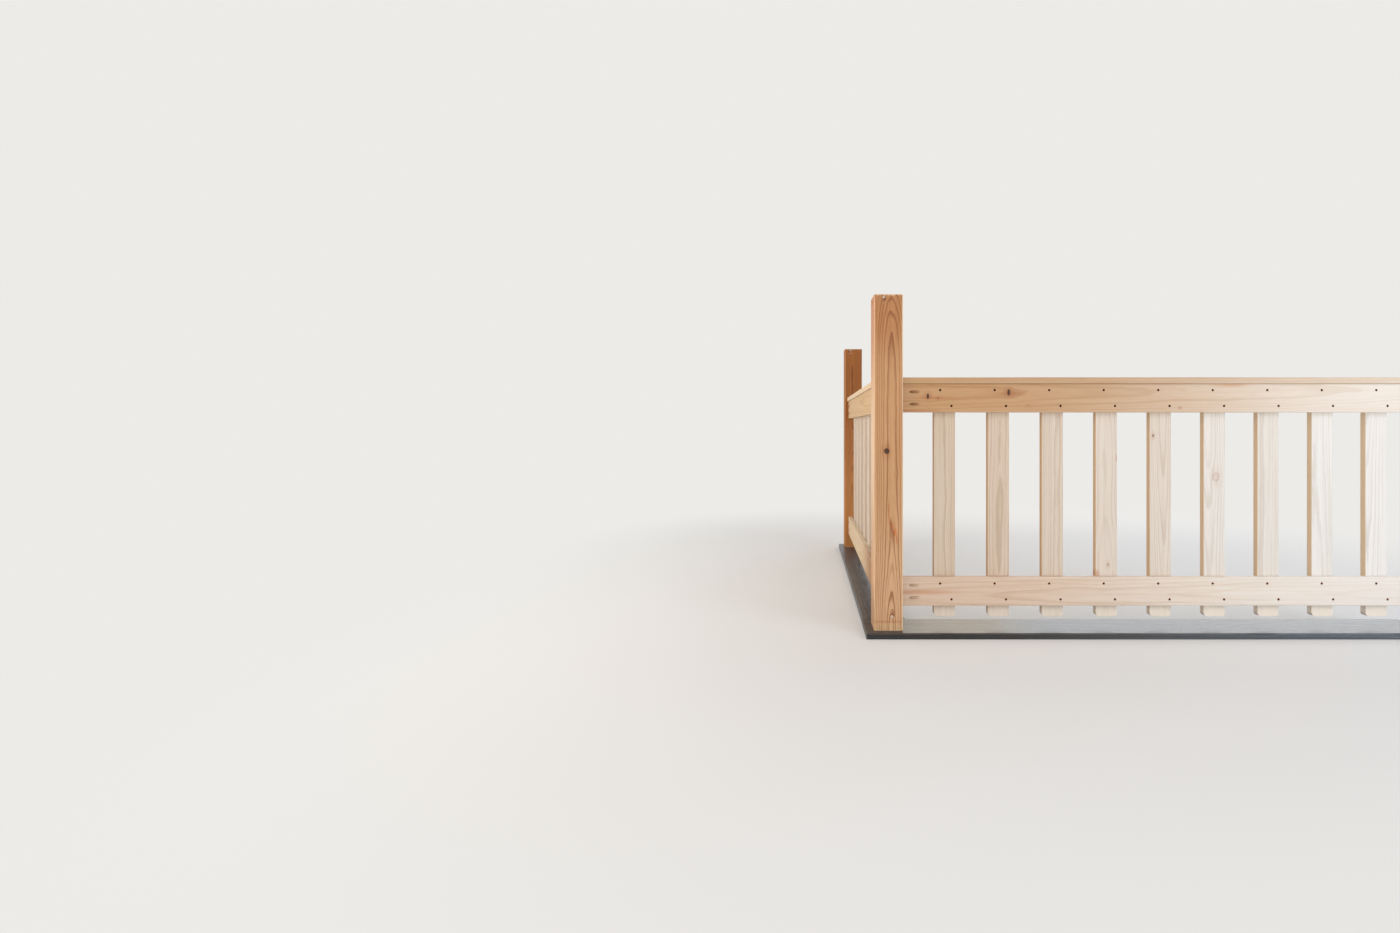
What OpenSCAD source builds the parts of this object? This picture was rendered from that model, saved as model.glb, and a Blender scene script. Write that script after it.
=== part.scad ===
// Guard rail for the open edge of a sleeping loft. It is an L of two railed bays between
// square posts, which stand on flat curb boards and reach up to the roof beam.
// The origin is on the floor, under the middle of the corner post. +X runs along the front
// bay to the side wall, +Y along the return bay, and +Z is up. All sizes are in millimetres.

/* [Bays] */
// Clear length of the front bay, from the corner post to the side wall
front_bay = 1618; // [900:1:3000]
// Slats in the front bay
front_slats = 9; // [4:1:16]
// Clear length of the return bay, from the corner post to the end post
return_bay = 1219; // [700:1:2400]
// Slats in the return bay
return_slats = 7; // [3:1:14]
// Height of the top rail's upper edge above the curb boards
guard_h = 757; // [500:1:1000]
// Clear height between the curb boards and the bottom rail
bottom_gap = 70; // [50:1:150]

/* [Posts] */
// Side of a square post
post_w = 89; // [75:1:140]
// Height of a post above its curb board
post_h = 1029; // [1020:1:2400]
// Radius of a post's eased edges
post_ease = 4; // [1:0.5:10]
// Diameter of the slanted recesses for the screws through a post's ends
toe_d = 14; // [8:1:16]
// Slant of those recesses against the post's length, in degrees
toe_angle = 30; // [28:1:45]
// How far a recess's floor lies past the point where all of it is inside the post
toe_sink = 1.5; // [0.5:0.5:5]
// From a post's foot up to the middle of the lower recess
toe_foot_h = 52; // [40:1:90]
// From a post's middle to the lower recess, towards +X
toe_foot_x = 11.5; // [-25:0.5:25]
// From a post's top down to the middle of its two upper recesses
toe_top_h = 18; // [18:1:60]
// From a post's middle to the upper recess in its loft face, towards +X
toe_top_x = -14.5; // [-25:0.5:25]
// From a post's middle to the upper recess in its left face, towards +Y
toe_side_y = 12; // [-5:0.5:25]

/* [Curb boards] */
// Width of a curb board
curb_w = 140; // [130:1:240]
// Thickness of a curb board
curb_t = 19; // [12:0.5:40]
// How far a curb board stands out past the posts on the loft side
curb_lip = 25.5; // [5:0.5:35]
// Radius of a curb board's eased edges
curb_ease = 3; // [0.5:0.5:5]

/* [Rails] */
// Width of a rail board, which stands on edge
rail_h = 89; // [75:1:140]
// Thickness of a rail board
rail_t = 19; // [14:0.5:28]
// How far the rails are set back from the posts' loft side
rail_inset = 19; // [7:0.5:28]
// Radius of the eased edges of rails, slats and caps
board_ease = 2; // [0.5:0.5:4]

/* [Slats] */
// Width of a slat
slat_w = 67; // [45:1:90]
// Thickness of a slat
slat_t = 19; // [14:0.5:28]
// How far the slats' feet hang below the bottom rail
slat_drop = 38; // [25:1:45]
// Radius of a foot's rounded corners
foot_radius = 12; // [4:1:20]

/* [Cap boards] */
// Thickness of a cap board
cap_t = 19; // [12:0.5:32]
// How far a cap board stands out past the rails and past the slats
cap_lip = 6.5; // [1:0.5:7]

/* [Screws] */
// Diameter of the sunk hole over a slat screw
screw_d = 7.5; // [5:0.5:12]
// Depth of the sunk hole over a slat screw
screw_sink = 2; // [1:0.5:5]
// From a slat's edge to the screw nearest to it
screw_from_edge = 16; // [8:1:22]
// From a rail's upper or lower edge to the screw nearest to it
screw_from_rail_edge = 20; // [10:1:36]
// Diameter of the slanted pockets at the rails' ends
pocket_d = 9.5; // [7:0.5:12]
// Slant of the pockets against the rail's length, in degrees
pocket_angle = 15; // [12:1:20]
// Distance between the two pockets at a rail's end
pocket_spacing = 38; // [20:1:50]
// How far behind the middle of a rail's end the pockets aim
pocket_aim = 1.2; // [-2:0.1:2]
// Wood left between a pocket's floor and the rail's end
pocket_shoulder = 14; // [8:0.5:18]
// Diameter of the pilot hole from a pocket's floor through the rail's end
pilot_d = 4; // [3:0.5:6]

/* [Hidden] */
$fn = 48;
BAY_NODES = [
    "curb_front", "curb_return",
    "post_corner", "post_end",
    "front_top_rail", "front_bottom_rail", "front_cap",
    "return_top_rail", "return_bottom_rail", "return_cap"
];
FRONT_SLAT_NODES = [for (i = [1:front_slats]) str("front_slat_", i)];
RETURN_SLAT_NODES = [for (i = [1:return_slats]) str("return_slat_", i)];

// Cutters run this far past the faces that they cut
overcut = 1;
// From the corner post's middle to the curb boards' edge on the loft side
curb_edge = post_w / 2 + curb_lip;
// Middle of the end post along the return bay
end_post_y = post_w + return_bay;
// Depth of a post's recess along its slant, and how far out of the face its cutter starts
toe_lead = toe_d / tan(toe_angle);
toe_depth = toe_lead / 2 + toe_sink;
// Lower edges of the rails and lower end of the slats, above the curb boards
top_rail_z = guard_h - rail_h;
bottom_rail_z = bottom_gap;
foot_z = bottom_gap - slat_drop;
slat_h = guard_h - foot_z;
// From a rail's end to where a pocket's axis leaves the loft face
pocket_reach = (rail_t / 2 + pocket_aim) / tan(pocket_angle);
// Along a pocket's axis, from the loft face to the pocket's floor and to the rail's end
pocket_floor = (pocket_reach - pocket_shoulder) / cos(pocket_angle);
pilot_end = pocket_reach / cos(pocket_angle);
// A pocket's cutter starts this far out, clear of the loft face
pocket_lead = pocket_d / tan(pocket_angle);

// Where the left edge of slat number i stands in a bay
function slat_x(length, slats, i) = i * (length - slats * slat_w) / (slats + 1) + (i - 1) * slat_w;

// End outline of a board or post, with its four edges eased
module eased_outline(wide, high, ease) {
    translate([ease, 0]) square([wide - 2 * ease, high]);
    translate([0, ease]) square([wide, high - 2 * ease]);
    for (x = [ease, wide - ease], y = [ease, high - ease])
        translate([x, y]) circle(ease);
}

// A board that lies along +X, with its end outline in Y and Z
module lying_board(length, wide, high, ease) {
    rotate([90, 0, 90])
        linear_extrude(length) eased_outline(wide, high, ease);
}

// Puts a piece in the front bay: x from the corner post's face, y from the rails' loft
// face towards the open side, z from the curb boards' top
module in_front_bay() {
    translate([post_w / 2, rail_inset - post_w / 2, curb_t]) children();
}

// Puts a piece in the return bay, which is the front bay mirrored about the corner
module in_return_bay() {
    mirror([1, -1, 0]) in_front_bay() children();
}

// A slanted recess in the loft face of a post whose foot is at z = 0. Its mouth is at
// height z and at x, and it runs in and down
module toe_cut(x, z) {
    translate([x, -post_w / 2, z]) rotate([180 + toe_angle, 0, 0])
        translate([0, 0, -toe_lead]) cylinder(d = toe_d, h = toe_lead + toe_depth);
}

// A post from its curb board up to the beam, with its middle at x = y = 0. One screw goes
// down into the curb board, and two go up into the beam, each from its own recess
module post() {
    translate([0, 0, curb_t]) difference() {
        translate([-post_w / 2, -post_w / 2, 0])
            linear_extrude(post_h) eased_outline(post_w, post_w, post_ease);
        toe_cut(toe_foot_x, toe_foot_h);
        translate([0, 0, post_h]) mirror([0, 0, 1]) {
            toe_cut(toe_top_x, toe_top_h);
            mirror([1, -1, 0]) toe_cut(toe_side_y, toe_top_h);
        }
    }
}

// A curb board along +X from x = start to x = end
module curb(start, end) {
    translate([start, -curb_edge, 0])
        lying_board(end - start, curb_w, curb_t, curb_ease);
}

// Sunk holes over the two screws that hold one slat to one rail, set on a diagonal
module screw_pair_cut() {
    upper = [screw_from_edge, -overcut, rail_h - screw_from_rail_edge];
    lower = [slat_w - screw_from_edge, -overcut, screw_from_rail_edge];
    for (place = [upper, lower])
        translate(place) rotate([-90, 0, 0]) cylinder(d = screw_d, h = screw_sink + overcut);
}

// The two slanted screw pockets at the rail's end at x = 0, each with its pilot hole
module pocket_pair_cut() {
    for (side = [-1, 1])
        translate([pocket_reach, 0, (rail_h + side * pocket_spacing) / 2])
            rotate([0, 0, -pocket_angle]) rotate([0, -90, 0]) {
                translate([0, 0, -pocket_lead]) cylinder(d = pocket_d, h = pocket_lead + pocket_floor);
                cylinder(d = pilot_d, h = pilot_end + pilot_d);
            }
}

// A rail of a bay, from its lower edge up
module rail(length, slats) {
    color("burlywood") difference() {
        lying_board(length, rail_t, rail_h, board_ease);
        for (i = [1:slats])
            translate([slat_x(length, slats, i), 0, 0]) screw_pair_cut();
        pocket_pair_cut();
        translate([length, 0, 0]) mirror([1, 0, 0]) pocket_pair_cut();
    }
}

// The cap board of a bay, on top of the rail and the slats
module cap(length) {
    color("burlywood") translate([0, -cap_lip, guard_h])
        lying_board(length, rail_t + slat_t + 2 * cap_lip, cap_t, board_ease);
}

// What rounding takes off a slat's lower corner at x = 0
module foot_corner_cut() {
    translate([0, slat_t + overcut, 0]) rotate([90, 0, 0])
        linear_extrude(slat_t + 2 * overcut) difference() {
            translate([-overcut, -overcut]) square(foot_radius + overcut);
            translate([foot_radius, foot_radius]) circle(foot_radius);
        }
}

// Slat number i of a bay, behind the rails, from its foot up to the cap
module slat(length, slats, i) {
    color("wheat") translate([slat_x(length, slats, i), rail_t, foot_z]) difference() {
        linear_extrude(slat_h) eased_outline(slat_w, slat_t, board_ease);
        foot_corner_cut();
        translate([slat_w, 0, 0]) mirror([1, 0, 0]) foot_corner_cut();
    }
}

module curb_front() {
    color("dimgray") curb(-curb_edge, post_w / 2 + front_bay);
}

module curb_return() {
    color("dimgray") mirror([1, -1, 0]) curb(curb_w - curb_edge, end_post_y + post_w / 2);
}

module post_corner() {
    color("peru") post();
}

module post_end() {
    color("peru") translate([0, end_post_y, 0]) post();
}

module front_top_rail() {
    in_front_bay() translate([0, 0, top_rail_z]) rail(front_bay, front_slats);
}

module front_bottom_rail() {
    in_front_bay() translate([0, 0, bottom_rail_z]) rail(front_bay, front_slats);
}

module front_cap() {
    in_front_bay() cap(front_bay);
}

module front_slat(i) {
    in_front_bay() slat(front_bay, front_slats, i);
}

module return_top_rail() {
    in_return_bay() translate([0, 0, top_rail_z]) rail(return_bay, return_slats);
}

module return_bottom_rail() {
    in_return_bay() translate([0, 0, bottom_rail_z]) rail(return_bay, return_slats);
}

module return_cap() {
    in_return_bay() cap(return_bay);
}

module return_slat(i) {
    in_return_bay() slat(return_bay, return_slats, i);
}

curb_front();
curb_return();
post_corner();
post_end();
front_top_rail();
front_bottom_rail();
front_cap();
return_top_rail();
return_bottom_rail();
return_cap();
for (i = [1:front_slats])
    front_slat(i);
for (i = [1:return_slats])
    return_slat(i);
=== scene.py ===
# %% [markdown]
# # Loft guard rail: the finish
#
# The real piece guards the open edge of a sleeping loft. Two square fir posts stand on
# stained curb boards, and rails, slats and cap boards of bare pine run between them.
# The boards themselves come from the CAD model and are already right in shape and size,
# so this lesson gives them what a joiner sees up close: growth rings, knots, stain,
# handled edges, and the screws that hold the boards.

# %% Load the frame
import math
import random

import bmesh
import bpy
from mathutils import Matrix, Vector


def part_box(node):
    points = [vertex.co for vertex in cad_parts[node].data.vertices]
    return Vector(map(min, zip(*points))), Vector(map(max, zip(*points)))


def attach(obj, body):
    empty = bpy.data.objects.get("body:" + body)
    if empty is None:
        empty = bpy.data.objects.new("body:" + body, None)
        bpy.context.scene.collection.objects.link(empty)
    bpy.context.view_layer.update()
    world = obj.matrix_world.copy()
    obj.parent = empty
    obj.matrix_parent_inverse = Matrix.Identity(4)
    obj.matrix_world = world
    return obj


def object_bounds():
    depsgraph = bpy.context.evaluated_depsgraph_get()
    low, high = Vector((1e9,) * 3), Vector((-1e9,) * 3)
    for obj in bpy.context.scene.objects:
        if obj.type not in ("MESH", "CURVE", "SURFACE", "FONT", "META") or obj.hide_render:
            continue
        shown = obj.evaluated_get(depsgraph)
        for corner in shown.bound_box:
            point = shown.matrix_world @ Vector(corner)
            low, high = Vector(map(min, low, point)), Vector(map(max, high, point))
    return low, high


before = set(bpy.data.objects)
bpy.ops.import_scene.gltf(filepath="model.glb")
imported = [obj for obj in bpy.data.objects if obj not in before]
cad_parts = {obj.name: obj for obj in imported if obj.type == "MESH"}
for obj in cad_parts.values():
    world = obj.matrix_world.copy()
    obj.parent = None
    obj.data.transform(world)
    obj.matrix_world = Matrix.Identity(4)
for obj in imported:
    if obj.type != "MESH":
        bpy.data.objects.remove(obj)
cad_low, cad_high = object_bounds()
bpy.ops.object.select_all(action="DESELECT")
print("nodes:", len(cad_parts), "box:", [round(v, 4) for v in cad_high - cad_low])

# %% [markdown]
# ## Camera
#
# The photograph is a one-point view: the camera looks straight along the return bay,
# and every line of that bay meets in one point of the picture. That point, the focal
# length in pixels and the eye's place are all a camera needs. Lens shift moves the
# picture sideways without turning the camera, so upright boards stay upright.

# %% Camera
PHOTO_WIDTH = 1400
PHOTO_HEIGHT = 933
MEETING_POINT = (803, 427.6)
FOCAL_PIXELS = 612
EYE = (-0.262, -1.917, 0.640)
SENSOR_MM = 36

bpy.ops.object.camera_add(location=EYE, rotation=(math.radians(90), 0, 0))
camera = bpy.context.object
camera.data.sensor_width = SENSOR_MM
camera.data.lens = FOCAL_PIXELS * SENSOR_MM / PHOTO_WIDTH
camera.data.shift_x = (PHOTO_WIDTH / 2 - MEETING_POINT[0]) / PHOTO_WIDTH
camera.data.shift_y = (MEETING_POINT[1] - PHOTO_HEIGHT / 2) / PHOTO_WIDTH
bpy.context.scene.camera = camera
bpy.context.scene.view_settings.view_transform = "Standard"
print("lens:", round(camera.data.lens, 2), "mm, shift:", round(camera.data.shift_x, 4))

# %% [markdown]
# ## Colours and nodes
#
# Colours are written as sRGB hex values, the way a paint chart gives them, and turned
# to linear light once. Materials are built from nodes in code, so one small function
# adds a node, sets it and links it. Passing a node where a value is expected links it.

# %% Colour and node helpers
def linear(hex_colour):
    """Returns an sRGB hex colour as linear red, green, blue and alpha."""
    channels = [int(hex_colour[i:i + 2], 16) / 255 for i in (0, 2, 4)]
    return [c / 12.92 if c <= 0.04045 else ((c + 0.055) / 1.055) ** 2.4 for c in channels] + [1.0]


def add(tree, kind, inputs=(), **settings):
    """Adds a node with its settings, and links or sets its inputs by name or number."""
    made = tree.nodes.new(kind)
    for name, value in settings.items():
        setattr(made, name, value)
    for key, value in dict(inputs).items():
        if isinstance(value, bpy.types.Node):
            value = value.outputs[0]
        if isinstance(value, bpy.types.NodeSocket):
            tree.links.new(value, made.inputs[key])
        else:
            made.inputs[key].default_value = value
    return made


def new_group(name, takes, gives):
    """Returns a node group with no nodes but its ends, and those ends' sockets."""
    group = bpy.data.node_groups.new(name, "ShaderNodeTree")
    for in_out, sockets in (("INPUT", takes), ("OUTPUT", gives)):
        for socket, kind in sockets.items():
            group.interface.new_socket(socket, in_out=in_out, socket_type="NodeSocket" + kind)
    return group, add(group, "NodeGroupInput").outputs, add(group, "NodeGroupOutput").inputs


def new_material(name):
    """Returns a material without nodes, and its node tree."""
    material = bpy.data.materials.new(name)
    material.use_nodes = True
    material.node_tree.nodes.clear()
    return material, material.node_tree


print("white is", [round(c, 3) for c in linear("ffffff")])

# %% [markdown]
# ## Spots
#
# Knots, stains, resin and a bend in the trunk all start from one question: how far is
# this point from the middle of an oval? A share of 1 in the middle that fades out
# softly is enough to bend the rings, to tint the wood, and to draw a knot.

# %% Spot group
spot_group, given, wanted = new_group(
    "spot", {"Board": "Vector", "Place": "Vector", "Size": "Vector"},
    {"Distance": "Float", "Share": "Float"})
offset = add(spot_group, "ShaderNodeVectorMath", {0: given["Board"], 1: given["Place"]},
             operation="SUBTRACT")
oval = add(spot_group, "ShaderNodeVectorMath", {0: offset, 1: given["Size"]}, operation="DIVIDE")
distance = add(spot_group, "ShaderNodeVectorMath", {0: oval}, operation="LENGTH").outputs["Value"]
squared = add(spot_group, "ShaderNodeMath", {0: distance, 1: distance}, operation="MULTIPLY")
faded = add(spot_group, "ShaderNodeMath", {0: squared, 1: -1}, operation="MULTIPLY")
share = add(spot_group, "ShaderNodeMath", {0: faded}, operation="EXPONENT")
spot_group.links.new(distance, wanted["Distance"])
spot_group.links.new(share.outputs[0], wanted["Share"])
print(spot_group.name, "has", len(spot_group.nodes), "nodes")

# %% [markdown]
# ## Knots
#
# A knot is a branch that the trunk grew round. Its own rings are small and dark, its
# rim is the darkest, and the trunk's grain parts and flows past it on both sides. A dark
# spot laid on straight grain would look stuck on, so the group also pushes the grain
# aside across the board, by less and less with distance. It gives back the bent place,
# the distance in knot radii with a ragged edge, and a halo.

# %% Knot group
HALO_STRETCH = (2.6, 1.7, 1)
HALO_MARGIN = (9, 4, 0)
RAGGED_EDGE = 0.5
RAGS_PER_MM = 0.3

knot_group, given, wanted = new_group(
    "knot", {"Board": "Vector", "Bent": "Vector", "Place": "Vector", "Radii": "Vector", "Push": "Float"},
    {"Bent": "Vector", "Distance": "Float", "Halo": "Float"})
near = add(knot_group, "ShaderNodeGroup",
           {"Board": given["Board"], "Place": given["Place"], "Size": given["Radii"]}, node_tree=spot_group)
wide_size = add(knot_group, "ShaderNodeVectorMath", {0: given["Radii"], 1: HALO_STRETCH, 2: HALO_MARGIN},
                operation="MULTIPLY_ADD")
wide = add(knot_group, "ShaderNodeGroup",
           {"Board": given["Board"], "Place": given["Place"], "Size": wide_size}, node_tree=spot_group)
ragged = add(knot_group, "ShaderNodeTexNoise", {"Vector": given["Board"], "Scale": RAGS_PER_MM, "Detail": 3})
centred = add(knot_group, "ShaderNodeMath", {0: ragged, 1: 0.5}, operation="SUBTRACT")
uneven = add(knot_group, "ShaderNodeMath", {0: centred, 1: RAGGED_EDGE, 2: near.outputs["Distance"]},
             operation="MULTIPLY_ADD")
aside = add(knot_group, "ShaderNodeVectorMath", {0: given["Bent"], 1: given["Place"]}, operation="SUBTRACT")
pushed = add(knot_group, "ShaderNodeMath", {0: wide.outputs["Share"], 1: given["Push"]},
             operation="MULTIPLY")
across_only = add(knot_group, "ShaderNodeCombineXYZ", {"Y": pushed})
moved = add(knot_group, "ShaderNodeVectorMath", {0: aside, 1: across_only}, operation="MULTIPLY")
bent = add(knot_group, "ShaderNodeVectorMath", {0: given["Bent"], 1: moved}, operation="SUBTRACT")
knot_group.links.new(bent.outputs[0], wanted["Bent"])
knot_group.links.new(uneven.outputs[0], wanted["Distance"])
knot_group.links.new(wide.outputs["Share"], wanted["Halo"])
print(knot_group.name, "has", len(knot_group.nodes), "nodes")

# %% [markdown]
# ## Growth rings
#
# A board's grain isn't a flat pattern: it is where the saw cut through the tree's
# rings. So the pattern is worked out in space. Each ring is a cylinder round the pith,
# and the distance from the pith says in which ring a point lies. That gives straight
# lines where the board was cut across the rings, arches where it was cut along them,
# and arcs on the end grain, and all of them meet at the board's edges by themselves.
#
# Inside a ring, pale early wood darkens slowly into late wood and then stops sharply.
# The pith wanders a little, which sways the lines, and rings differ in width and tone.
# Every length is in millimetres, along, across and through the board.

# %% Growth ring group
SWAY_LENGTH = 520
WAVE_LENGTH = (120, 20, 20)
# Real fibres are a few hundredths of a millimetre thick, and are drawn coarser to show
FIBRE_LENGTH = (55, 1.3, 1.3)
STREAK_LENGTH = (420, 9, 9)
UNEVEN_YEARS = 1.8
CLIMATE_PER_YEAR = 0.31
LATE_WOOD_STARTS = 0.42
LATE_WOOD_FULL = 0.86
LATE_WOOD_STOPS = 0.9

ring_group, given, wanted = new_group(
    "growth rings",
    {"Board": "Vector", "Bent": "Vector", "Pith": "Vector", "Ring": "Float", "Sway": "Float",
     "Wave": "Float", "Seed": "Vector"},
    {"Late": "Float", "Tone": "Float", "Fibre": "Float", "Streak": "Float"})
shifted = add(ring_group, "ShaderNodeVectorMath", {0: given["Bent"], 1: given["Seed"]}, operation="ADD")
sway_place = add(ring_group, "ShaderNodeVectorMath", {0: shifted, 1: (1 / SWAY_LENGTH, 0, 0)},
                 operation="MULTIPLY")
sway_noise = add(ring_group, "ShaderNodeTexNoise", {"Vector": sway_place, "Scale": 1, "Detail": 2})
sway_centred = add(ring_group, "ShaderNodeVectorMath", {0: sway_noise.outputs["Color"], 1: (0.5, 0.5, 0.5)},
                   operation="SUBTRACT")
sway = add(ring_group, "ShaderNodeVectorMath", {0: sway_centred, "Scale": given["Sway"]}, operation="SCALE")
pith = add(ring_group, "ShaderNodeVectorMath", {0: given["Pith"], 1: sway}, operation="ADD")
from_pith = add(ring_group, "ShaderNodeVectorMath", {0: given["Bent"], 1: pith}, operation="SUBTRACT")
square_on = add(ring_group, "ShaderNodeVectorMath", {0: from_pith, 1: (0, 1, 1)}, operation="MULTIPLY")
radius = add(ring_group, "ShaderNodeVectorMath", {0: square_on}, operation="LENGTH").outputs["Value"]
wave_place = add(ring_group, "ShaderNodeVectorMath", {0: shifted, 1: WAVE_LENGTH}, operation="DIVIDE")
wave_noise = add(ring_group, "ShaderNodeTexNoise", {"Vector": wave_place, "Scale": 1, "Detail": 4,
                                                    "Roughness": 0.55})
wave_centred = add(ring_group, "ShaderNodeMath", {0: wave_noise, 1: 0.5}, operation="SUBTRACT")
waved = add(ring_group, "ShaderNodeMath", {0: wave_centred, 1: given["Wave"], 2: radius},
            operation="MULTIPLY_ADD")
years = add(ring_group, "ShaderNodeMath", {0: waved, 1: given["Ring"]}, operation="DIVIDE")
climate_at = add(ring_group, "ShaderNodeMath", {0: years, 1: CLIMATE_PER_YEAR}, operation="MULTIPLY")
climate = add(ring_group, "ShaderNodeTexNoise", {"W": climate_at, "Scale": 1, "Detail": 1},
              noise_dimensions="1D")
uneven_years = add(ring_group, "ShaderNodeMath", {0: climate, 1: UNEVEN_YEARS, 2: years},
                   operation="MULTIPLY_ADD")
season = add(ring_group, "ShaderNodeMath", {0: uneven_years}, operation="FRACT")
year = add(ring_group, "ShaderNodeMath", {0: uneven_years}, operation="FLOOR")
summer = add(ring_group, "ShaderNodeMapRange", {"Value": season, "From Min": LATE_WOOD_STARTS,
                                                "From Max": LATE_WOOD_FULL},
             interpolation_type="SMOOTHSTEP")
winter = add(ring_group, "ShaderNodeMapRange", {"Value": season, "From Min": LATE_WOOD_STOPS,
                                                "From Max": 1, "To Min": 1, "To Max": 0},
             interpolation_type="SMOOTHSTEP")
late = add(ring_group, "ShaderNodeMath", {0: summer, 1: winter}, operation="MULTIPLY")
tone = add(ring_group, "ShaderNodeTexWhiteNoise", {"W": year}, noise_dimensions="1D")
fibre_place = add(ring_group, "ShaderNodeVectorMath", {0: shifted, 1: FIBRE_LENGTH}, operation="DIVIDE")
fibre = add(ring_group, "ShaderNodeTexNoise", {"Vector": fibre_place, "Scale": 1, "Detail": 4,
                                               "Roughness": 0.6})
streak_place = add(ring_group, "ShaderNodeVectorMath", {0: shifted, 1: STREAK_LENGTH}, operation="DIVIDE")
streak = add(ring_group, "ShaderNodeTexNoise", {"Vector": streak_place, "Scale": 1, "Detail": 2})
for name, value in (("Late", late), ("Tone", tone), ("Fibre", fibre), ("Streak", streak)):
    ring_group.links.new(value.outputs[0], wanted[name])
print(ring_group.name, "has", len(ring_group.nodes), "nodes")

# %% [markdown]
# ## Room inside the board
#
# How far a point lies inside the board's box tells two more things. A visible point
# that is deep inside all three pairs of faces can only be on the wall of a hole, where a
# drill leaves raw fibre. The colour laid there is partly that fibre and partly painted
# shade, and in the fir posts painted light. A point that is close to two of them is on
# an edge, which hands and sandpaper have rounded and worn. On the fir posts, that pale
# edge colour is partly painted highlight. Both could be painted board by board, but the
# box finds every hole and every edge by itself.

# %% Room group
room_group, given, wanted = new_group(
    "room inside", {"Board": "Vector", "Middle": "Vector", "Half": "Vector"},
    {"Depth": "Float", "Edge": "Float"})
offset = add(room_group, "ShaderNodeVectorMath", {0: given["Board"], 1: given["Middle"]},
             operation="SUBTRACT")
outward = add(room_group, "ShaderNodeVectorMath", {0: offset}, operation="ABSOLUTE")
left = add(room_group, "ShaderNodeVectorMath", {0: given["Half"], 1: outward}, operation="SUBTRACT")
first, second, third = add(room_group, "ShaderNodeSeparateXYZ", {0: left}).outputs
lower = add(room_group, "ShaderNodeMath", {0: first, 1: second}, operation="MINIMUM")
upper = add(room_group, "ShaderNodeMath", {0: first, 1: second}, operation="MAXIMUM")
upper_or_third = add(room_group, "ShaderNodeMath", {0: upper, 1: third}, operation="MINIMUM")
smallest = add(room_group, "ShaderNodeMath", {0: lower, 1: third}, operation="MINIMUM")
middle_one = add(room_group, "ShaderNodeMath", {0: lower, 1: upper_or_third}, operation="MAXIMUM")
room_group.links.new(smallest.outputs[0], wanted["Depth"])
room_group.links.new(middle_one.outputs[0], wanted["Edge"])
print(room_group.name, "has", len(room_group.nodes), "nodes")

# %% [markdown]
# ## Finishes
#
# Every board gets a material of its own, because no two boards are cut from the same
# place in a tree. What they share is the finish: the colours of early and late wood, of
# streaks, fibres, end grain, hole walls and worn edges, and how strongly each shows. Hole
# walls are partly painted shade, and on the fir painted light. The fir's worn edges are
# partly painted highlight. In mm, ring is how wide the rings are, sway and wave how far
# they wander and ripple, ease how far in from an edge the wear and highlight go, and
# relief how far late wood stands up.

# %% Finishes
FINISHES = {
    # Fir, planed and left bare: warm orange-brown with strong late wood, dull. Its pale edges
    # are partly wear and partly painted highlight, and its pale hole walls are painted light.
    "fir": {"early": "ca9d71", "late": "94603a", "late_share": 0.95, "streak": "b78350",
            "streak_share": 0.6, "fibre": "a5744a", "fibre_share": 0.5, "end": "a9754c",
            "inside": "d4a480", "inside_share": 0.6, "worn": "f0d0a8", "wear_and_highlight_share": 0.6,
            "ease": 4, "roughness": 0.62, "ring": 3.7, "sway": 6, "wave": 3, "relief": 0.10},
    # Knotty pine, planed and left bare: cream to pale orange with quiet rings, dull. Its dark
    # hole walls are partly drilled fibre and partly painted shade.
    "pine": {"early": "e7dfd4", "late": "d0ba9f", "late_share": 0.6, "streak": "dccab2",
             "streak_share": 0.4, "fibre": "cbb498", "fibre_share": 0.3, "end": "c79f78",
             "inside": "9c7048", "inside_share": 0.75, "worn": "efe6da", "wear_and_highlight_share": 0.3,
             "ease": 2, "roughness": 0.6, "ring": 5.0, "sway": 14, "wave": 4.0, "relief": 0.08},
    # Spruce slats, planed and left bare: pale greyish cream with fine even lines, dull
    "pale slat": {"early": "ecebe9", "late": "ccc5be", "late_share": 0.5, "streak": "dad3cb",
                  "streak_share": 0.35, "fibre": "c8bfb6", "fibre_share": 0.3, "end": "c0a68a",
                  "inside": "c9bdae", "inside_share": 0, "worn": "eae5de", "wear_and_highlight_share": 0.2,
                  "ease": 2, "roughness": 0.6, "ring": 4.0, "sway": 12, "wave": 3.0, "relief": 0.06},
    # The same spruce, browner: partly its own colour, partly painted shade near the corner
    "warm slat": {"early": "d3c2b0", "late": "b4987e", "late_share": 0.62, "streak": "c5ab8e",
                  "streak_share": 0.4, "fibre": "c0a78c", "fibre_share": 0.3, "end": "b89a7a",
                  "inside": "bca084", "inside_share": 0, "worn": "e0d0bc", "wear_and_highlight_share": 0.2,
                  "ease": 2, "roughness": 0.6, "ring": 4.2, "sway": 14, "wave": 3.4, "relief": 0.06},
    # Pine under a dark grey wiping stain: the grain stays visible, satin
    "stain": {"early": "3a3938", "late": "1c1c1d", "late_share": 0.8, "streak": "524e49",
              "streak_share": 0.6, "fibre": "252525", "fibre_share": 0.5, "end": "262525",
              "inside": "222223", "inside_share": 0, "worn": "6b5f54", "wear_and_highlight_share": 0.3, "ease": 3,
              "roughness": 0.3, "ring": 5.0, "sway": 16, "wave": 5.0, "relief": 0.12},
}


def between(first, second, share):
    """Returns a finish part of the way from one to another, in colours and in numbers."""
    mixed = {}
    for key, value in first.items():
        if isinstance(value, str):
            pairs = [(int(value[i:i + 2], 16), int(second[key][i:i + 2], 16)) for i in (0, 2, 4)]
            mixed[key] = "".join(f"{round(a + (b - a) * share):02x}" for a, b in pairs)
        else:
            mixed[key] = value + (second[key] - value) * share
    return mixed


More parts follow.
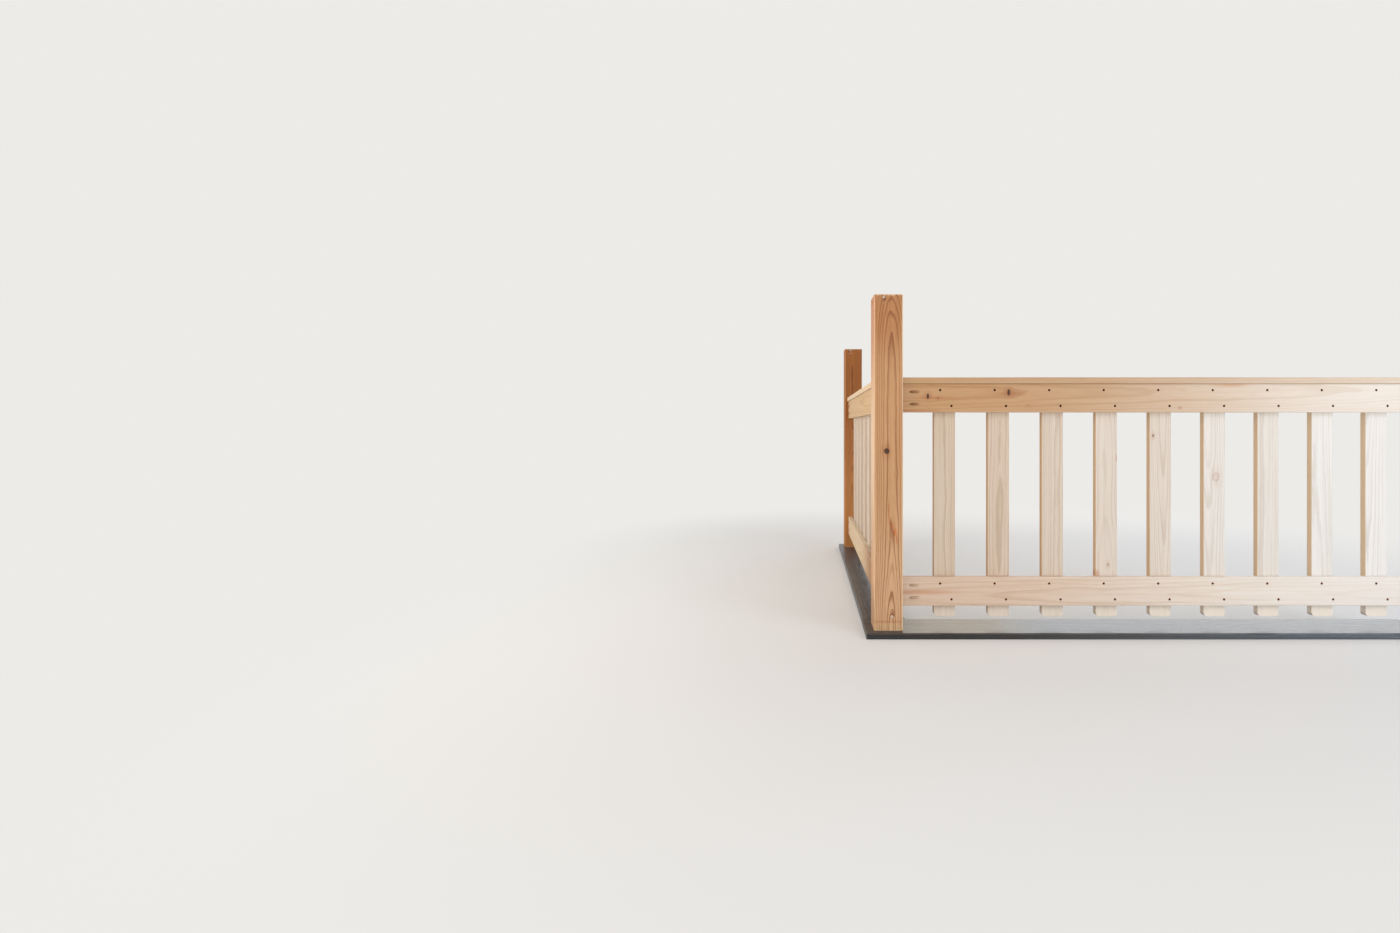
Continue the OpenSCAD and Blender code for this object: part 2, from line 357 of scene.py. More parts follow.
print("finishes:", ", ".join(FINISHES))

# %% [markdown]
# ## Layers of colour
#
# Colour is laid on in layers, the way stain, fibre and knots lie over each other. A layer
# is a pattern, from where the pattern starts to show to where it is full, the layer's
# share, its colour and how it blends. Marks on a board are layers too. Their place is
# given along and across the board, in millimetres of the whole piece, so a mark goes
# where a tape measure finds it.

# %% Layers of colour
ANYWHERE = 1e5
MIX_UNDER = 6
MIX_OVER = 7
MIX_RESULT = 2


def lay_colours(tree, base, layers, fade="SMOOTHSTEP"):
    """Lays colours over a base colour, lowest first, and returns the colour they make."""
    colour = linear(base)
    for pattern, start_at, full_at, strength, over, blend in layers:
        weight = add(tree, "ShaderNodeMapRange",
                     {"Value": pattern, "From Min": start_at, "From Max": full_at, "To Max": strength},
                     interpolation_type=fade)
        colour = add(tree, "ShaderNodeMix", {0: weight, MIX_UNDER: colour, MIX_OVER: linear(over)},
                     data_type="RGBA", blend_type=blend).outputs[MIX_RESULT]
    return colour


def mark_layers(tree, board, middle, marks, blend):
    """Returns a colour layer for each mark: a place, a reach, a colour and a strength."""
    layers = []
    for place, reach, over, strength in marks:
        spot = add(tree, "ShaderNodeGroup", {"Board": board, "Place": (*place, *middle[len(place):]),
                                             "Size": (*reach, ANYWHERE)[:3]}, node_tree=spot_group)
        layers.append((spot.outputs["Share"], 0, 1, strength, over, blend))
    return layers


print("a mark without an end reaches", ANYWHERE / 1000, "m")

# %% [markdown]
# From the middle out, a knot has a dark core with rings of its own, a rim that is darker
# still, and a halo where it has stained the trunk's wood. Distances are in knot radii. A
# small live branch leaves a pale knot, so each knot has a strength.

# %% Knot colours
KNOT_RING = 0.32
KNOT_EDGE = (1.1, 0.9)
KNOT_RIM_WIDTH = 0.14
KNOT_HALO = "d8a880"
KNOT_LATE_WOOD = "3a1e08"
KNOT_RIM = "44210a"


def knot_layers(tree, distance, halo, core, strength):
    """Returns the colour layers of a knot: its halo, its core, the core's rings, its rim."""
    years = add(tree, "ShaderNodeMath", {0: distance, 1: KNOT_RING}, operation="DIVIDE")
    season = add(tree, "ShaderNodeMath", {0: years}, operation="FRACT")
    rim = add(tree, "ShaderNodeMath", {0: distance, 1: 1, 2: KNOT_RIM_WIDTH}, operation="COMPARE")
    inside = add(tree, "ShaderNodeMapRange", {"Value": distance, "From Min": KNOT_EDGE[0],
                                              "From Max": KNOT_EDGE[1]})
    late_wood = add(tree, "ShaderNodeMath", {0: season, 1: inside}, operation="MULTIPLY")
    return [
        (halo, 0.2, 1, 0.45 * strength, KNOT_HALO, "MULTIPLY"),
        (inside, 0, 1, 0.3 + 0.65 * strength, core, "MIX"),
        (late_wood, 0.4, 1, 0.35 * strength, KNOT_LATE_WOOD, "MIX"),
        (rim, 0, 1, 0.6 * strength, KNOT_RIM, "MIX"),
    ]


print("rings in a knot:", round(1 / KNOT_RING))

# %% [markdown]
# ## A board's directions
#
# The box of a board says which way it runs: its longest side is along the grain, the
# next one is its width and the last its thickness.

# %% Board box
SQUARE_WITHIN = 0.5


def board_box(node):
    """Returns a board's axes, longest first, and its middle and half size along them, in
    mm. The two short axes of a square post keep their order."""
    low, high = (corner * 1000 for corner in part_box(node))
    size = high - low
    order = sorted(range(3), key=lambda axis: -size[axis])
    if size[order[1]] - size[order[2]] < SQUARE_WITHIN:
        order[1:] = sorted(order[1:])
    return order, [(low[axis] + high[axis]) / 2 for axis in order], [size[axis] / 2 for axis in order]


print("front cap:", [round(2 * reach, 1) for reach in board_box("front_cap")[2]], "mm")

# %% [markdown]
# ## A board's material
#
# A patch lies under the late wood, a tint multiplies what is below it, as resin does,
# and a veil lies over the grain, as fine dust does. On some boards all three also lay
# painted light, painted shade and a painted sheen. The noises run from 0 to 1, and the
# ranges say which of their values show. Depths are in mm, and the wear of an edge,
# partly painted highlight on the fir, is ragged, as deep as the finish's ease. Object
# coordinates come in metres, so a Mapping node turns them to millimetres first.

# %% Board material
MM = (1000, 1000, 1000)
SEED_STEPS = (913.7, 71.3, 57.9)
FAINTEST_RING = 0.45
STREAKS_SHOW = (0.35, 0.7)
FIBRES_SHOW = (0.42, 0.75)
END_GRAIN_SHOWS = (0.5, 0.9)
END_GRAIN_SHARE = 0.7
HOLE_WALL_SHOWS = (1.3, 2.1)
WEAR_AND_HIGHLIGHT_SHOWS = (2.3, 1.3)
WEAR_AND_HIGHLIGHT_RAGGED = 2.4
FIBRE_RANGE = (0.3, 0.7)
ROUGHNESS_SWING = 0.06
LATE_WOOD_STANDS = 0.5


def wood(node, name, look, seed, pith=(0, 60), lean=(0, 0), bows=(), knots=(), patches=(), tints=(),
         veils=()):
    """Gives a CAD node the wood of one board. pith is across and through the board from
    its middle, and lean how far it moves across and through over the board's length.
    bows bend the trunk at a place, and knots hold a place, radii, colour, strength and
    push. patches, tints and veils are marks under, in and over the grain."""
    order, middle, half = board_box(node)
    slopes = [total / (2 * half[0]) for total in lean]
    start = (0, middle[1] + pith[0] - slopes[0] * middle[0], middle[2] + pith[1] - slopes[1] * middle[0])

    material, tree = new_material(name)
    coordinates = add(tree, "ShaderNodeTexCoord")
    scaled = add(tree, "ShaderNodeMapping", {"Vector": coordinates.outputs["Object"], "Scale": MM})
    parts = add(tree, "ShaderNodeSeparateXYZ", {0: scaled}).outputs
    board = add(tree, "ShaderNodeCombineXYZ", {i: parts[axis] for i, axis in enumerate(order)})

    bent = board.outputs[0]
    knot_marks = []
    for place, radii, core, strength, push in knots:
        knot = add(tree, "ShaderNodeGroup",
                   {"Board": board, "Bent": bent, "Place": (*place, middle[2]),
                    "Radii": (*radii, ANYWHERE), "Push": push}, node_tree=knot_group)
        bent = knot.outputs["Bent"]
        knot_marks += knot_layers(tree, knot.outputs["Distance"], knot.outputs["Halo"], core, strength)
    trunk = add(tree, "ShaderNodeVectorMath", {0: parts[order[0]], 1: (0, *slopes), 2: start},
                operation="MULTIPLY_ADD")
    for place, reach, bow in bows:
        near = add(tree, "ShaderNodeGroup", {"Board": board, "Place": (place, 0, 0),
                                             "Size": (reach, ANYWHERE, ANYWHERE)}, node_tree=spot_group)
        trunk = add(tree, "ShaderNodeVectorMath", {0: near.outputs["Share"], 1: (0, *bow), 2: trunk},
                    operation="MULTIPLY_ADD")
    rings = add(tree, "ShaderNodeGroup",
                {"Board": board, "Bent": bent, "Pith": trunk, "Ring": look["ring"], "Sway": look["sway"],
                 "Wave": look["wave"], "Seed": [seed * step for step in SEED_STEPS]},
                node_tree=ring_group)
    room = add(tree, "ShaderNodeGroup", {"Board": board, "Middle": middle, "Half": half},
               node_tree=room_group)

    toned = add(tree, "ShaderNodeMapRange", {"Value": rings.outputs["Tone"], "To Min": FAINTEST_RING})
    late_wood = add(tree, "ShaderNodeMath", {0: rings.outputs["Late"], 1: toned}, operation="MULTIPLY")
    normal = add(tree, "ShaderNodeSeparateXYZ", {0: coordinates.outputs["Normal"]}).outputs[order[0]]
    end_on = add(tree, "ShaderNodeMath", {0: normal}, operation="ABSOLUTE")
    wear_and_highlight_mask = add(tree, "ShaderNodeMath", {0: rings.outputs["Streak"], 1: WEAR_AND_HIGHLIGHT_RAGGED * look["ease"],
                                          2: room.outputs["Edge"]}, operation="MULTIPLY_ADD")
    wear_and_highlight_shows = [reach * look["ease"] for reach in WEAR_AND_HIGHLIGHT_SHOWS]
    colour = lay_colours(tree, look["early"], [
        (rings.outputs["Streak"], *STREAKS_SHOW, look["streak_share"], look["streak"], "MIX"),
        *mark_layers(tree, board, middle, patches, "MIX"),
        (late_wood, 0, 1, look["late_share"], look["late"], "MIX"),
        (rings.outputs["Fibre"], *FIBRES_SHOW, look["fibre_share"], look["fibre"], "MIX"),
        *mark_layers(tree, board, middle, tints, "MULTIPLY"),
        *mark_layers(tree, board, middle, veils, "MIX"),
        *knot_marks,
        (end_on, *END_GRAIN_SHOWS, END_GRAIN_SHARE, look["end"], "MIX"),
        (wear_and_highlight_mask, *wear_and_highlight_shows, look["wear_and_highlight_share"], look["worn"], "MIX"),
        (room.outputs["Depth"], *HOLE_WALL_SHOWS, look["inside_share"], look["inside"], "MIX"),
    ])
    roughness = add(tree, "ShaderNodeMapRange",
                    {"Value": rings.outputs["Fibre"], "From Min": FIBRE_RANGE[0], "From Max": FIBRE_RANGE[1],
                     "To Min": look["roughness"] - ROUGHNESS_SWING,
                     "To Max": look["roughness"] + ROUGHNESS_SWING})
    height = add(tree, "ShaderNodeMath", {0: rings.outputs["Late"], 1: LATE_WOOD_STANDS,
                                          2: rings.outputs["Fibre"]}, operation="MULTIPLY_ADD")
    relief = add(tree, "ShaderNodeBump", {"Height": height, "Distance": look["relief"] / 1000})
    surface = add(tree, "ShaderNodeBsdfPrincipled", {"Base Color": colour, "Roughness": roughness,
                                                     "Normal": relief})
    add(tree, "ShaderNodeOutputMaterial", {"Surface": surface})
    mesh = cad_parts[node].data
    mesh.materials.clear()
    mesh.materials.append(material)


print("node groups:", [group.name for group in bpy.data.node_groups])

# %% [markdown]
# ## Posts
#
# The corner post shows best. Its trunk comes up to the face at the foot and bends away
# from it at the top, so at both ends the rings run out of the face in arches with their
# points up. Between them the grain is straight, with one round knot at half height and
# a streak of resin. A pale band and a fine line cross its foot. Its edges are pale, partly
# from handling and partly as painted highlight, and a painted highlight runs down its
# front right edge. Its left face has painted light in the middle and painted shade at the
# top and the foot. The end post is darker, partly a darker board and partly painted
# shade, and the painted shade is deepest at its top and fades towards its foot.

# %% Posts
corner_fir = dict(FINISHES["fir"], ring=5.2, wave=4)
wood("post_corner", "planed fir, corner post", corner_fir, seed=3, pith=(10, -17.5),
     bows=[(1140, 160, (0, 24)), (380, 120, (0, -0.9)), (-40, 220, (-2, -24))],
     knots=[((568, -6), (8, 8), "361c0e", 0.95, 0.35), ((497, 20), (3, 2), "b07a4c", 0.2, 0.8),
            ((338, 15), (14, 5), "c08a58", 0.1, 0.8)],
     tints=[((386, 0), (32, 2), "e4b487", 0.9), ((352, 5), (15, 3.5), "efc39b", 0.9),
            ((336, 12), (12, 5), "f6c498", 0.9), ((319, 19), (13, 6.5), "ffc898", 1),
            ((298, 25), (18, 2.5), "dfae84", 0.9), ((980, 0), (130, 90), "dcb484", 0.6),
            ((46, 0), (3, ANYWHERE), "d8aa80", 0.4)],
     patches=[((29, 0), (12, ANYWHERE), "ecc898", 0.55), ((60, 0), (300, ANYWHERE), "deba94", 0.5)],
     # The three veils at -46 are painted light and shade on the left face: light in the middle, shade at the
     # top and foot. The last veil is a painted highlight on the front right edge.
     veils=[((740, 0), (160, ANYWHERE), "be8c5f", 0.3), ((560, -46), (330, 3), "ecd4ba", 0.75),
            ((950, -46), (170, 3), "c08a72", 0.65), ((70, -46), (80, 3.5), "96755f", 0.6),
            ((500, 45, -44.5), (ANYWHERE, 3.2, 3.2), "fbe4c6", 0.9)])
# The end post's darker finish is partly a darker board and partly painted shade. Its tint is painted shade
# at the top, and its veil pales it towards the foot.
end_fir = dict(FINISHES["fir"], early="a7682f", late="783f17", streak="935b27", fibre="895528",
               worn="c8945e")
wood("post_end", "planed fir, end post", end_fir, seed=11, pith=(-8, -22), lean=(6, 10),
     bows=[(560, 150, (4, 8))],
     tints=[((1048, 0), (300, ANYWHERE), "f2eab4", 0.9)],
     veils=[((120, 0), (400, ANYWHERE), "d49858", 0.42)])
print("made:", [item.name for item in bpy.data.materials if " fir, " in item.name])

# %% [markdown]
# ## Rails, caps and curb boards
#
# The boards of the front bay are browner towards the corner post and paler towards
# their far end, partly in their own colour and partly as painted shade near the corner
# and painted light at the far end. Wide tints and veils lay that change on. The return
# bay's boards are more golden all over, and the return bottom rail is browner near the
# corner post, which is painted shade. A knot here is a branch cut across, so it stands
# upright on the face. The front curb's front edge carries a painted bluish sheen towards
# the far end and painted shade near the corner, and the return curb's paler, bluer stain
# is partly painted sheen.

# %% Rails, caps and curbs
FAR_END = (1650, 0)
PALE_AND_PAINTED_LIGHT = "eeeae6"

# On the front boards, the wide tints that brown them towards the corner are partly painted shade, and the
# far-end veils that pale them are partly painted light.
wood("front_top_rail", "planed pine, front top rail", FINISHES["pine"], seed=5, pith=(20, 70), lean=(14, 20),
     knots=[((124, 737), (3.4, 7.5), "3a1a04", 1, 0.6), ((155, 731), (3, 3), "9a6238", 0.5, 0.5),
            ((374, 749), (4, 9), "461e06", 0.95, 0.6), ((434, 709), (3, 3), "b98358", 0.3, 0.5)],
     tints=[((-60, 730), (1250, ANYWHERE), "d4ab7c", 0.95), ((140, 732), (80, 5), "e4aa82", 0.5),
            ((903, 701), (6, 5), "e0a89c", 0.7), ((385, 745), (40, 8), "e0aa82", 0.35),
            ((1062, 772), (60, 8), "f0c088", 0.6), ((80, 691), (100, 5), "e0a470", 0.5)],
     veils=[(FAR_END, (560, ANYWHERE), PALE_AND_PAINTED_LIGHT, 0.45)])
quiet_pine = dict(FINISHES["pine"], early="ece5dc", late_share=0.4, inside="c8a888", inside_share=0.5)
# Partly painted shade towards the corner, partly painted light at the far end
wood("front_bottom_rail", "planed pine, front bottom rail", quiet_pine, seed=8, pith=(-10, 60),
     lean=(10, -16),
     tints=[((-60, 130), (950, ANYWHERE), "ead4c4", 0.9), ((100, 131), (110, 9), "ecbc9c", 0.5)],
     veils=[(FAR_END, (640, ANYWHERE), PALE_AND_PAINTED_LIGHT, 0.6)])
# The cap's wide tint browns it towards the corner, partly as painted shade
wood("front_cap", "planed pine, front cap", FINISHES["pine"], seed=13, pith=(5, -50), lean=(3, 4),
     patches=[((60, -32, 779), (110, ANYWHERE, 5), "e6dcb4", 0.7)],
     tints=[((0, 0), (1400, ANYWHERE), "d4b088", 0.95)])
sunned_pine = dict(FINISHES["pine"], early="d0b288", late="bb9464", streak="c6a171", fibre="b78f60")
wood("return_top_rail", "planed pine, return top rail", sunned_pine, seed=17, pith=(10, 55),
     lean=(12, 10))
golden_pine = dict(FINISHES["pine"], early="e3d0b2", late="cdad85", streak="d9bc95", fibre="c8a87f")
# The wide tint on the return bottom rail browns it towards the corner post: painted shade.
wood("return_bottom_rail", "planed pine, return bottom rail", golden_pine, seed=19, pith=(-16, 45),
     lean=(9, 14), tints=[((60, 0), (400, ANYWHERE), "b4906e", 0.95)])
wood("return_cap", "planed pine, return cap", golden_pine, seed=23, pith=(-8, -45), lean=(4, -3))
# On the front curb's front edge, the patch is a painted bluish sheen that grows towards the far end, and the
# tint is painted shade near the corner.
wood("curb_front", "stained pine, front curb", FINISHES["stain"], seed=29, pith=(22, -70), lean=(20, 14),
     patches=[((1750, -70), (1000, 6), "717f8c", 0.7)], tints=[((0, -70), (500, 6), "a8a8b4", 0.8)])
# The return curb's stain is paler and bluer, partly its stain and partly a painted sheen.
stain_and_painted_sheen = dict(FINISHES["stain"], early="4a4a51", streak="545358")
wood("curb_return", "stained pine, return curb", stain_and_painted_sheen, seed=31, pith=(-12, -50), lean=(16, 20))
print("made:", [item.name for item in bpy.data.materials if " pine, " in item.name])

# %% [markdown]
# ## Slats
#
# Sixteen slats from one bundle: each has its own place in the tree from a seeded
# generator, and they grow paler towards the far end like the rails above them, partly in
# their own colour and partly as painted shade near the corner and painted light further
# out. In the front bay, the side of a slat that looks towards the corner is painted
# browner than its face, as painted shade. The feet below the bottom rail are painted
# paler, as painted light that lifts the rail's shadow off them.

# %% Slats
# How warm a front slat is falls with its distance from the corner, in mm. The warm end
# is partly painted shade and the pale end partly painted light.
WARM_REACH = 880
WARM_POWER = 2.5
RETURN_WARMTH = 0.85
WARMTH_SPREAD = 0.12
# Painted shade on the side of a front slat that looks towards the corner
SIDE_PAINTED_SHADE = "f2d2a4"
# Painted light on the feet, over the shadow of the bottom rail
FOOT_PAINTED_LIGHT = "fcf2e4"
FOOT_PLACE = (62, 0)
FOOT_REACH = (24, ANYWHERE)
SLAT_MARKS = {
    "front_slat_4": {"knots": [((212, 690), (5, 4), "b98f6c", 0.35, 0.8)],
                     "tints": [((183, 656), (14, 7), "e8b090", 0.7), ((545, 718), (12, 4), "e0a888", 0.7)]},
    "front_slat_5": {"knots": [((615, 831), (4, 3), "8a5a3a", 0.7, 0.6)]},
    "front_slat_6": {"knots": [((486, 1027), (12, 10), "d9c4b6", 0.38, 0.7)]},
    "return_slat_3": {"knots": [((300, 560), (5, 4), "8a5a3a", 0.6, 0.7)]},
    "return_slat_6": {"knots": [((650, 1098), (7, 5), "7c4c2e", 0.8, 0.7)]},
}
boards = random.Random(41)
for node in sorted(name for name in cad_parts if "_slat_" in name):
    from_corner = max(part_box(node)[0].xy) * 1000
    marks = dict(SLAT_MARKS.get(node, {}))
    warmth = RETURN_WARMTH
    if node.startswith("front"):
        warmth = math.exp(-(from_corner / WARM_REACH) ** WARM_POWER)
        # Painted shade on the slat's corner side
        marks["tints"] = [*marks.get("tints", ()), ((0, from_corner), (ANYWHERE, 1), SIDE_PAINTED_SHADE, 0.8)]
    slat_look = between(FINISHES["pale slat"], FINISHES["warm slat"],
                        warmth + boards.uniform(-WARMTH_SPREAD, WARMTH_SPREAD))
    wood(node, "planed spruce, " + node.replace("_", " "), slat_look, seed=boards.uniform(30, 90),
         pith=(boards.uniform(-30, 30), boards.choice((-1, 1)) * boards.uniform(30, 80)),
         lean=(boards.uniform(-12, 12), boards.uniform(-18, 18)),
         veils=[(FOOT_PLACE, FOOT_REACH, FOOT_PAINTED_LIGHT, 0.95 - 0.4 * warmth)], **marks)
print("slats:", len([item for item in bpy.data.materials if " spruce, " in item.name]))

# %% [markdown]
# ## Screw heads
#
# Three kinds of screw hold the boards: small ones in the slats, wider ones in the rails'
# pockets, and big ones that hold the posts. A recess that is only drawn would hold no
# shadow, so it is shaped in the mesh. A head starts as a flat disc with 24 corners. Its
# rim is rounded with a bevel, an inset draws the mouth of the driver recess, some of its
# corners are pulled in to make a star or a cross, and the recess is pushed down. Each
# head is modelled once and then copied to its seats.

# %% Select the top, shape the recess
HEAD_CORNERS = 24
UPWARD = 0.99
SAME_PLACE = 0.02


def pick_top(head):
    """Selects the flat face in the middle of a head's top."""
    bpy.ops.mesh.select_mode(type="FACE")
    shape = bmesh.from_edit_mesh(head.data)
    for face in shape.faces:
        from_axis = face.calc_center_median().xy.length * 1000
        face.select_set(face.normal.z > UPWARD and from_axis < SAME_PLACE)
    bmesh.update_edit_mesh(head.data)


def pull_in(head, height, reach, shares, turn):
    """Pulls the corners of the ring at a height in towards the axis, each by its share."""
    bpy.ops.mesh.select_mode(type="VERT")
    step = 2 * math.pi / HEAD_CORNERS
    for share in sorted(set(shares) - {1}):
        shape = bmesh.from_edit_mesh(head.data)
        for corner in shape.verts:
            at = corner.co * 1000
            number = round((math.atan2(at.y, at.x) - turn) / step) % len(shares)
            on_ring = abs(at.z - height) < SAME_PLACE and abs(at.xy.length - reach) < SAME_PLACE
            corner.select_set(on_ring and shares[number] == share)
        shape.select_flush_mode()
        bmesh.update_edit_mesh(head.data)
        bpy.ops.transform.resize(value=(share, share, 1), center_override=(0, 0, height / 1000))


print("a corner every", 360 / HEAD_CORNERS, "degrees")

# %% [markdown]
# The shares say how far out each corner of the recess stays. Four shares repeat six
# times round the head and make a star with six points, and six shares repeat four times
# and make a cross.

# %% Model the heads
STAR = (1, 0.92, 0.72, 0.92)
CROSS = (1, 0.37, 0.23, 0.23, 0.37, 1)
RIM_SEGMENTS = 4
RIM_PROFILE = 0.6
RECESS_TAPER = 0.7
SMOOTH_BELOW = math.radians(32)


def screw_head(name, radius, height, rim, mouth, depth, shares):
    """Models a screw head on the Z axis, seated at z = 0. Sizes are in mm: rim is the
    bevel of its upper edge, mouth the reach of the recess and depth how deep it is."""
    # An arm of the cross ends in two corners, and half a step lays it along an axis
    turn = math.pi / HEAD_CORNERS if shares == CROSS else 0
    bpy.ops.mesh.primitive_cylinder_add(vertices=HEAD_CORNERS, radius=radius / 1000, depth=height / 1000,
                                        location=(0, 0, height / 2000), rotation=(0, 0, turn))
    head = bpy.context.object
    head.name = name
    bpy.ops.object.transform_apply(location=True, rotation=True)
    bpy.ops.object.mode_set(mode="EDIT")
    pick_top(head)
    bpy.ops.mesh.bevel(offset=rim / 1000, segments=RIM_SEGMENTS, profile=RIM_PROFILE, affect="EDGES")
    pick_top(head)
    bpy.ops.mesh.inset(thickness=(radius - rim - mouth) / 1000)
    pull_in(head, height, mouth, shares, turn)
    pick_top(head)
    bpy.ops.mesh.extrude_region_move(TRANSFORM_OT_translate={"value": (0, 0, -depth / 1000)})
    bpy.ops.transform.resize(value=(RECESS_TAPER, RECESS_TAPER, 1),
                             center_override=(0, 0, (height - depth) / 1000))
    bpy.ops.object.mode_set(mode="OBJECT")
    bpy.ops.object.shade_smooth_by_angle(angle=SMOOTH_BELOW)
    return head


slat_head = screw_head("slat screw head", radius=3.5, height=1.4, rim=0.5, mouth=1.7, depth=1,
                       shares=STAR)
pocket_head = screw_head("pocket screw head", radius=4.2, height=2.8, rim=1.3, mouth=2, depth=1.8,
                         shares=STAR)
toe_head = screw_head("toe screw head", radius=5.4, height=3.2, rim=1.6, mouth=2.7, depth=2,
                      shares=CROSS)
print("corners of a head:", len(slat_head.data.vertices), len(toe_head.data.vertices))

# %% [markdown]
# The heads' metal is not clean either. The bronze coating on the slat screws is thin
# and has gone blotchy, and the zinc on the others has a faint warm cast, which is a
# painted reflection of the wood round the heads. The top rails' slat screws are painted
# darker, as painted shade, and the bottom rails' lighter, as painted light.

# %% Screw materials
BLOTCHES_PER_MM = 0.45
RUBS_PER_MM = 2.2
BLOTCHES_SHOW = (0.4, 0.65)
RUBS_SHOW = (0.55, 0.8)
COATING_SHARE = 0.7
COATING_RELIEF = 0.04
RUBBED_SMOOTHER = 0.1
RUBBED_ROUGHER = 0.15


def screw_metal(name, base, blotch, rub, metallic, roughness, shine):
    """Returns a coated screw metal with blotches some millimetres wide and fine rubbing."""
    material, tree = new_material(name)
    coordinates = add(tree, "ShaderNodeTexCoord")
    scaled = add(tree, "ShaderNodeMapping", {"Vector": coordinates.outputs["Object"], "Scale": MM})
    blotches = add(tree, "ShaderNodeTexNoise", {"Vector": scaled, "Scale": BLOTCHES_PER_MM, "Detail": 3})
    rubbing = add(tree, "ShaderNodeTexNoise", {"Vector": scaled, "Scale": RUBS_PER_MM, "Detail": 4})
    colour = lay_colours(tree, base, [(blotches, *BLOTCHES_SHOW, COATING_SHARE, blotch, "MIX"),
                                      (rubbing, *RUBS_SHOW, COATING_SHARE, rub, "MIX")], fade="LINEAR")
    rough = add(tree, "ShaderNodeMapRange", {"Value": rubbing, "To Min": roughness - RUBBED_SMOOTHER,
                                             "To Max": roughness + RUBBED_ROUGHER})
    relief = add(tree, "ShaderNodeBump", {"Height": rubbing, "Distance": COATING_RELIEF / 1000})
    surface = add(tree, "ShaderNodeBsdfPrincipled",
                  {"Base Color": colour, "Metallic": metallic, "Roughness": rough, "Normal": relief,
                   "Specular IOR Level": shine})
    add(tree, "ShaderNodeOutputMaterial", {"Surface": surface})
    return material


# Dark bronze coating. The top rails' copy is painted darker, as painted shade, and the
# bottom rails' copy lighter, as painted light.
bronze = screw_metal("bronze coated screws", base="3a1602", blotch="4a2206", rub="6e3a12",
                     metallic=0.1, roughness=0.6, shine=0.04)
bronze_painted_lit = screw_metal("bronze screws, painted lit", base="5a2600", blotch="6c3404", rub="8c4e10",
                            metallic=0.1, roughness=0.55, shine=0.04)
# Zinc plating, satin. Its warm cast is a painted reflection of the wood round the heads.
zinc = screw_metal("zinc plated screws", base="fbf2e6", blotch="f2e4d0", rub="dcd4c8",
                   metallic=0.1, roughness=0.4, shine=0.6)
slat_head.data.materials.append(bronze)
pocket_head.data.materials.append(zinc)
toe_head.data.materials.append(zinc)
print("coatings:", ", ".join(metal.name for metal in (bronze, bronze_painted_lit, zinc)))

# %% [markdown]
# Places that are written out would be wrong as soon as a board changed its size, so
# every seat comes from the boards' boxes. In a bay, one direction runs along the rails
# and one points out of their screwed face, so the same rule serves both bays.

# %% Seat the heads
# Slat screws, in mm from a slat's edge, from a rail's edge and below the rail's face
SCREW_FROM_EDGE = 16
SCREW_FROM_RAIL_EDGE = 20
SCREW_SINK = 2
# Pocket screws: apart, from the rail's end and below its face
POCKET_SPACING = 38
POCKET_SHOULDER = 14
POCKET_DEPTH = 6.95
POCKET_SLANT = math.radians(15)
# Toe screws: below the post's face, then across from its middle and along from its end
TOE_SLANT = math.radians(30)
TOE_IN = 6.81
TOE_FOOT = (11.5, 40.2)
TOE_TOP = (-14.5, 6.2)
TOE_SIDE = (12, 6.2)
turns = random.Random(7)


def seat_heads(name, head, seats):
    """Copies a head to each seat, a place in mm and the way the head faces, and joins them."""
    bpy.ops.object.select_all(action="DESELECT")
    for place, facing in seats:
        copied = bpy.data.objects.new(name, head.data.copy())
        turned = Matrix.Rotation(turns.uniform(0, 2 * math.pi), 4, "Z")
        stand = facing.to_track_quat("Z", "Y").to_matrix().to_4x4()
        copied.data.transform(Matrix.Translation(place / 1000) @ stand @ turned)
        bpy.context.collection.objects.link(copied)
        copied.select_set(True)
        bpy.context.view_layer.objects.active = copied
    bpy.ops.object.join()
    piece = bpy.context.object
    piece.name = name
    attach(piece, "root")


for bay, along, out in (("front", Vector((1, 0, 0)), Vector((0, -1, 0))),
                        ("return", Vector((0, 1, 0)), Vector((-1, 0, 0)))):
    slats = [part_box(node) for node in sorted(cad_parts) if node.startswith(bay + "_slat_")]
    for level in ("top", "bottom"):
        low, high = (corner * 1000 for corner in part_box(f"{bay}_{level}_rail"))
        face = out * low.dot(out)
        slat_seats = []
        for slat_low, slat_high in slats:
            upper = along * (slat_low.dot(along) * 1000 + SCREW_FROM_EDGE)
            lower = along * (slat_high.dot(along) * 1000 - SCREW_FROM_EDGE)
            upper.z = high.z - SCREW_FROM_RAIL_EDGE
            lower.z = low.z + SCREW_FROM_RAIL_EDGE
            slat_seats += [(place + face - out * SCREW_SINK, out) for place in (upper, lower)]
        slat_head.data.materials[0] = bronze if level == "top" else bronze_painted_lit
        seat_heads(f"screws_{bay}_{level}", slat_head, slat_seats)
        pocket_seats = []
        for end, inward in ((low.dot(along), 1), (high.dot(along), -1)):
            for side in (-1, 1):
                place = along * (end + inward * POCKET_SHOULDER) + face - out * POCKET_DEPTH
                place.z = (low.z + high.z + side * POCKET_SPACING) / 2
                facing = along * inward * math.cos(POCKET_SLANT) + out * math.sin(POCKET_SLANT)
                pocket_seats.append((place, facing))
        seat_heads(f"pocket_screws_{bay}_{level}", pocket_head, pocket_seats)

